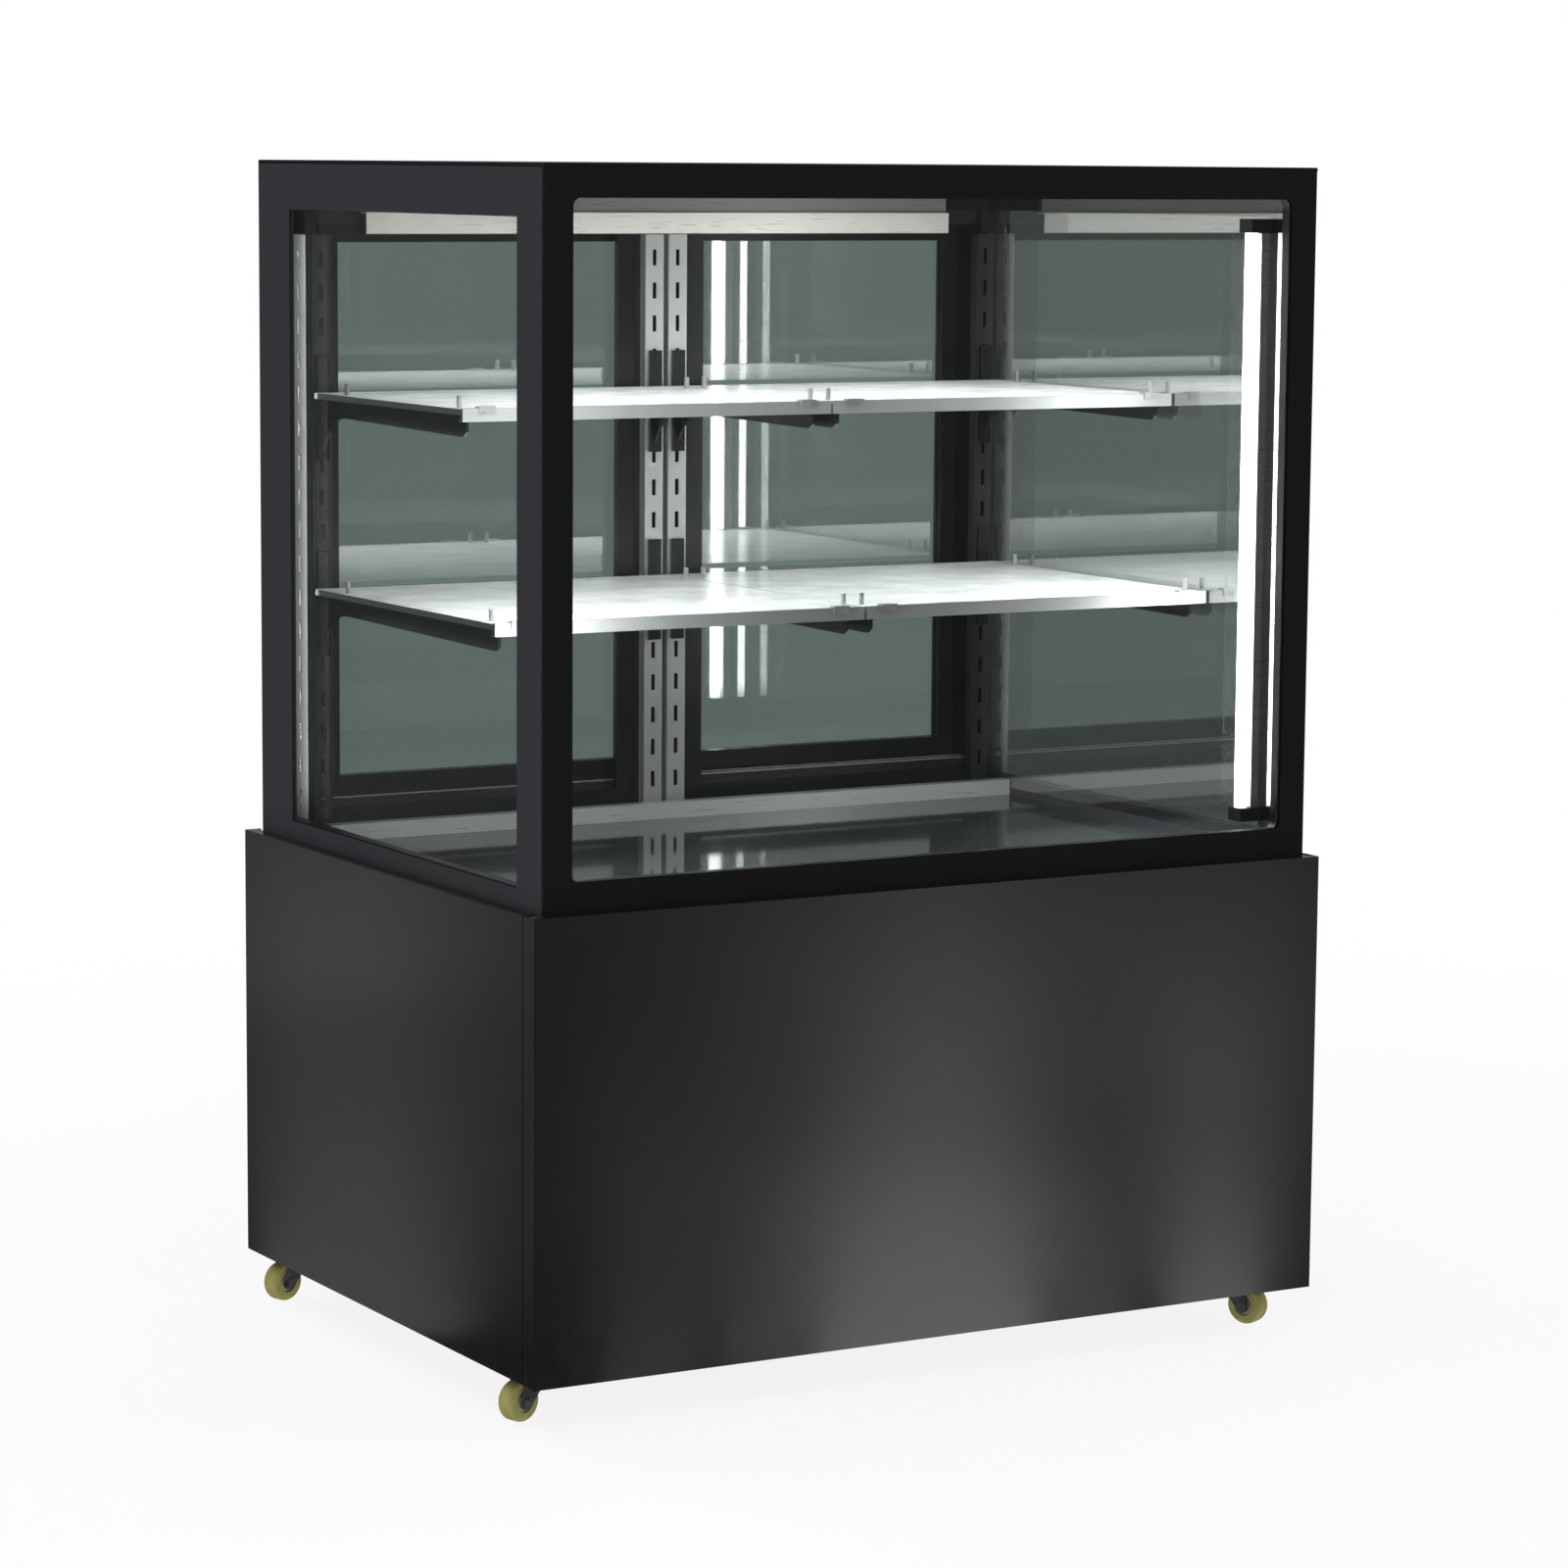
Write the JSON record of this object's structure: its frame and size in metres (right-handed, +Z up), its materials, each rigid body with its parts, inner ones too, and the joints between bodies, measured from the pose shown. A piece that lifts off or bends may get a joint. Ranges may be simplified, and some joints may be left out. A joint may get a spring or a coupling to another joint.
{
  "type": "refrigerated deli case",
  "caption": "Refrigerated glass display cabinet on a closed black machine base with casters, white shelves on slotted uprights, edge lights and rear sliding doors.",
  "frame": {"origin": "on the floor, under the middle of the base", "axes": "+Z up, front glass faces -Y, +X to the right seen from the front"},
  "size_m": [0.9, 0.675, 1.2],
  "materials": {
    "black_panel": "satin",
    "frame_steel": "satin",
    "galvanised": "satin",
    "stainless": "polished",
    "slotted_steel": "satin",
    "zinc": "satin",
    "tyre": "satin",
    "black_plastic": "matte",
    "rocker": "gloss",
    "glass": "gloss",
    "door_glass": "gloss",
    "edge_black": "gloss",
    "frame_black": "satin",
    "door_black": "satin",
    "shelf_white": "gloss",
    "trim_grey": "satin",
    "bracket_black": "satin",
    "light_housing": "satin",
    "light_tube": "gloss",
    "foam_tub": "satin",
    "copper": "satin",
    "compressor_black": "gloss",
    "rubber_black": "matte",
    "fins": "satin",
    "drain_plastic": "satin",
    "fan_plastic": "satin"
  },
  "bodies": {
    "case": {"base_floor_pan": "galvanised", "base_frame": "galvanised", "cable_gland": "black_plastic", "caster_plates": "zinc", "compressor": "compressor_black", "compressor_mounts": "rubber_black", "condenser_coil": "fins", "condenser_fan_motor": "frame_steel", "condenser_fan_shroud": "galvanised", "control_housings": "black_plastic", "deck_panel": "black_panel", "door_tracks": "trim_grey", "drain_tube": "drain_plastic", "evaporator_coil": "fins", "evaporator_fan_motor": "frame_steel", "front_edge_frame": "edge_black", "front_glass": "glass", "front_panel": "black_panel", "insulated_tub": "foam_tub", "led_housings": "light_housing", "led_tubes": "light_tube", "left_edge_frame": "edge_black", "left_glass": "glass", "left_side_panel": "black_panel", "lower_left_shelf": "shelf_white", "lower_right_shelf": "shelf_white", "panel_screws": "zinc", "rear_frame": "frame_black", "rear_louvre_panel": "black_panel", "refrigerant_pipes": "copper", "right_edge_frame": "edge_black", "right_glass": "glass", "right_side_panel": "black_panel", "shelf_brackets": "bracket_black", "shelf_clips": "zinc", "shelf_front_trims": "trim_grey", "slotted_uprights": "slotted_steel", "stainless_strips": "stainless", "top_panel": "edge_black", "upper_left_shelf": "shelf_white", "upper_right_shelf": "shelf_white"},
    "left_door": {"left_door_frame": "door_black", "left_door_glass": "door_glass", "left_door_pull": "black_plastic"},
    "right_door": {"right_door_frame": "door_black", "right_door_glass": "door_glass", "right_door_pull": "black_plastic"},
    "condenser_fan": {"condenser_fan": "fan_plastic"},
    "evaporator_fan": {"evaporator_fan": "fan_plastic"},
    "thermostat_knob": {"thermostat_knob": "black_plastic"},
    "power_rocker": {"power_rocker": "rocker"},
    "light_rocker": {"light_rocker": "rocker"},
    "fork_front_left": {"caster_fork_front_left": "zinc"},
    "wheel_front_left": {"caster_wheel_front_left": "tyre"},
    "fork_front_right": {"caster_fork_front_right": "zinc"},
    "wheel_front_right": {"caster_wheel_front_right": "tyre"},
    "fork_rear_left": {"caster_fork_rear_left": "zinc"},
    "wheel_rear_left": {"caster_wheel_rear_left": "tyre"},
    "fork_rear_right": {"caster_fork_rear_right": "zinc"},
    "wheel_rear_right": {"caster_wheel_rear_right": "tyre"}
  },
  "joints": [
    {"name": "left_door_slide", "type": "slide", "parent": "case", "child": "left_door", "axis": [1, 0, 0], "range_m": [0, 0.36]},
    {"name": "right_door_slide", "type": "slide", "parent": "case", "child": "right_door", "axis": [-1, 0, 0], "range_m": [0, 0.36]},
    {"name": "swivel_front_left", "type": "hinge", "parent": "case", "child": "fork_front_left", "pos_m": [-0.412, -0.256, 0.044], "axis": [0, 0, 1], "continuous": true},
    {"name": "roll_front_left", "type": "hinge", "parent": "fork_front_left", "child": "wheel_front_left", "pos_m": [-0.42834, -0.26069, 0.02], "axis": [-0.2756, 0.9613, 0], "continuous": true},
    {"name": "swivel_front_right", "type": "hinge", "parent": "case", "child": "fork_front_right", "pos_m": [0.412, -0.256, 0.044], "axis": [0, 0, 1], "continuous": true},
    {"name": "roll_front_right", "type": "hinge", "parent": "fork_front_right", "child": "wheel_front_right", "pos_m": [0.41945, -0.27128, 0.02], "axis": [-0.8988, -0.4384, 0], "continuous": true},
    {"name": "swivel_rear_left", "type": "hinge", "parent": "case", "child": "fork_rear_left", "pos_m": [-0.412, 0.301, 0.044], "axis": [0, 0, 1], "continuous": true},
    {"name": "roll_rear_left", "type": "hinge", "parent": "fork_rear_left", "child": "wheel_rear_left", "pos_m": [-0.42834, 0.29631, 0.02], "axis": [-0.2756, 0.9613, 0], "continuous": true},
    {"name": "swivel_rear_right", "type": "hinge", "parent": "case", "child": "fork_rear_right", "pos_m": [0.412, 0.301, 0.044], "axis": [0, 0, 1], "continuous": true},
    {"name": "roll_rear_right", "type": "hinge", "parent": "fork_rear_right", "child": "wheel_rear_right", "pos_m": [0.41945, 0.28572, 0.02], "axis": [-0.8988, -0.4384, 0], "continuous": true},
    {"name": "condenser_fan_spin", "type": "hinge", "parent": "case", "child": "condenser_fan", "pos_m": [0.18, 0.246, 0.19], "axis": [0, 1, 0], "continuous": true},
    {"name": "evaporator_fan_spin", "type": "hinge", "parent": "case", "child": "evaporator_fan", "pos_m": [0.23, 0.16, 0.429], "axis": [0, 1, 0], "continuous": true},
    {"name": "thermostat_turn", "type": "hinge", "parent": "case", "child": "thermostat_knob", "pos_m": [-0.238, 0.334, 0.43], "axis": [0, 1, 0], "range_deg": [0, 270]},
    {"name": "power_rock", "type": "hinge", "parent": "case", "child": "power_rocker", "pos_m": [-0.362, 0.3285, 0.43], "axis": [0, 0, 1], "range_deg": [0, 14]},
    {"name": "light_rock", "type": "hinge", "parent": "case", "child": "light_rocker", "pos_m": [-0.314, 0.3285, 0.43], "axis": [0, 0, 1], "range_deg": [0, 14]}
  ]
}
